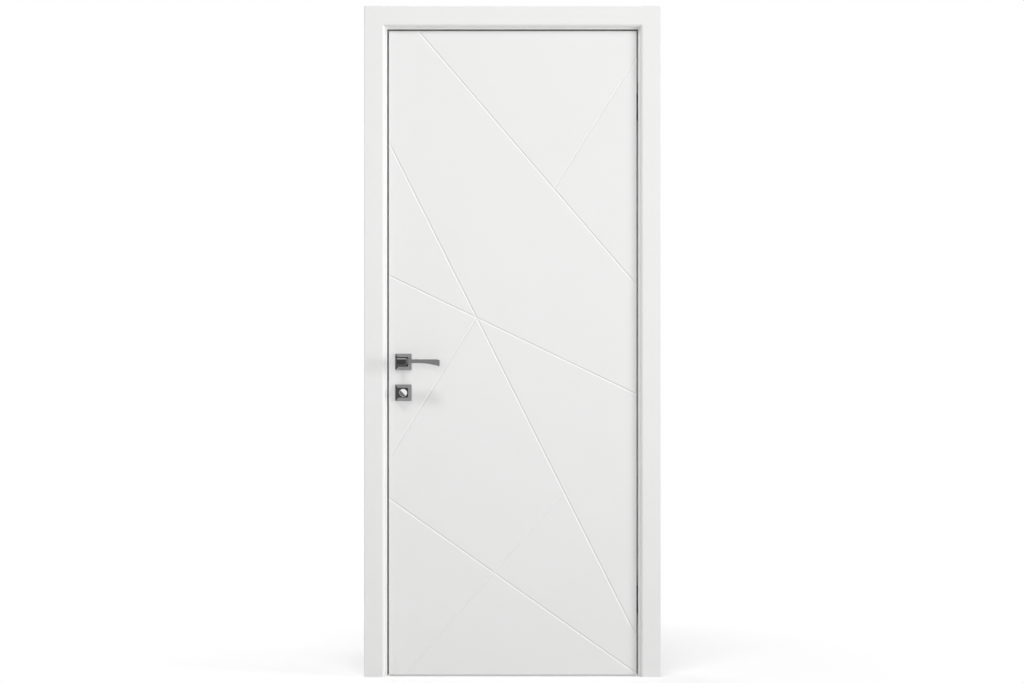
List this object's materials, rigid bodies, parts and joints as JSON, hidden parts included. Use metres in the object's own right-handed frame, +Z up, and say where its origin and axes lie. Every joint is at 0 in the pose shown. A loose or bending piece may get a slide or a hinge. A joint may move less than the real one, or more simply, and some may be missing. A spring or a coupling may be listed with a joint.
{
  "type": "interior door",
  "caption": "White interior door set: flush leaf with slanting milled grooves in a rebated frame with casings, concealed hinges, dark lever on a square rose and a privacy turn.",
  "frame": {"origin": "on the wall face of the hinge jamb, at floor level, half way through the wall's thickness", "axes": "+X out of the hinge jamb into the wall, to the right of a viewer on the pull side; +Y away from that viewer, through the wall; +Z up"},
  "size_m": [0.912, 0.162, 2.061],
  "materials": {
    "white_lacquer": "satin lacquer",
    "core_timber": "satin lacquer on its edges",
    "white_seal": "matt",
    "dark_nickel": "dark satin plate",
    "bright_chrome": "polished",
    "steel": "satin",
    "zinc": "satin silver"
  },
  "bodies": {
    "frame": {"hinge_jamb": "white_lacquer", "latch_jamb": "white_lacquer", "head_jamb": "white_lacquer", "front_hinge_casing": "white_lacquer", "front_latch_casing": "white_lacquer", "front_head_casing": "white_lacquer", "back_hinge_casing": "white_lacquer", "back_latch_casing": "white_lacquer", "back_head_casing": "white_lacquer", "hinge_seal": "white_seal", "latch_seal": "white_seal", "head_seal": "white_seal", "strike_plate": "steel", "upper_frame_hinge_cup": "zinc", "lower_frame_hinge_cup": "zinc"},
    "leaf": {"front_facing": "white_lacquer", "back_facing": "white_lacquer", "hinge_stile": "core_timber", "latch_stile": "core_timber", "top_rail": "core_timber", "bottom_rail": "core_timber", "lock_forend": "steel", "latch_bolt": "steel", "privacy_bolt": "steel", "upper_leaf_hinge_cup": "zinc", "lower_leaf_hinge_cup": "zinc", "front_lever_rosette": "dark_nickel", "back_lever_rosette": "dark_nickel", "front_turn_rosette": "dark_nickel", "back_turn_rosette": "dark_nickel"},
    "lever_set": {"front_lever": "dark_nickel", "back_lever": "dark_nickel", "lever_spindle": "steel"},
    "turn_set": {"front_turn_knob": "bright_chrome", "back_turn_release": "bright_chrome", "turn_spindle": "steel"},
    "hinge_frame_arms": {"upper_frame_arm": "zinc", "lower_frame_arm": "zinc"},
    "hinge_leaf_arms": {"upper_leaf_arm": "zinc", "lower_leaf_arm": "zinc"}
  },
  "joints": [
    {"name": "door_swing", "type": "hinge", "parent": "frame", "child": "leaf", "pos_m": [-0.0325, -0.054, 0], "axis": [0, 0, 1], "range_deg": [0, 95]},
    {"name": "lever_press", "type": "hinge", "parent": "leaf", "child": "lever_set", "pos_m": [-0.752, -0.03, 0.968], "axis": [0, 1, 0], "range_deg": [0, 45], "stiffness_Nm_per_rad": 2, "springref_deg": -22.92},
    {"name": "privacy_turn", "type": "hinge", "parent": "leaf", "child": "turn_set", "pos_m": [-0.752, -0.03, 0.873], "axis": [0, 1, 0], "range_deg": [0, 90]},
    {"name": "frame_arm_turn", "type": "hinge", "parent": "frame", "child": "hinge_frame_arms", "pos_m": [-0.0195, -0.038, 0], "axis": [0, 0, 1], "range_deg": [0, 95]},
    {"name": "leaf_arm_turn", "type": "hinge", "parent": "leaf", "child": "hinge_leaf_arms", "pos_m": [-0.0455, -0.038, 0], "axis": [0, 0, 1], "range_deg": [-95, 0]}
  ],
  "couplings": [
    {"joint": "frame_arm_turn", "follows": "door_swing", "ratio": 1},
    {"joint": "leaf_arm_turn", "follows": "door_swing", "ratio": -1}
  ]
}
